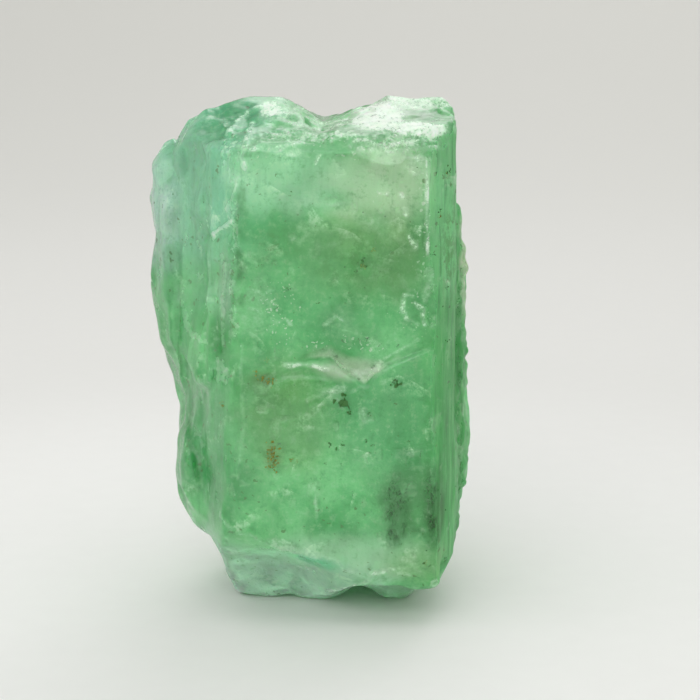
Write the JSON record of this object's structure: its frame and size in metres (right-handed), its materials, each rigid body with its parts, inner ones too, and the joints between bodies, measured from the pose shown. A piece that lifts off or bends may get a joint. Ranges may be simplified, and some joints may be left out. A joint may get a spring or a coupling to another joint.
{
  "type": "raw emerald crystal",
  "caption": "Stubby six-sided prism of milky green beryl with side growths, a saddle-shaped broken top, chipped edges and a flat parted underside.",
  "frame": {"origin": "middle of the bounding box's bottom face, on the surface that the crystal stands on", "axes": "+Z along the prism's long axis to the broken top, -Y out of the broad prism face, +X to the striped narrow side"},
  "size_m": [0.0102, 0.0084, 0.0159],
  "materials": {
    "emerald": "see-through but milky green crystal with dark grains and healed cracks inside; satin prism faces with fine lengthwise lines, sugary and shell-shaped breaks"
  },
  "bodies": {
    "root": {"crystal": "emerald"}
  },
  "joints": []
}
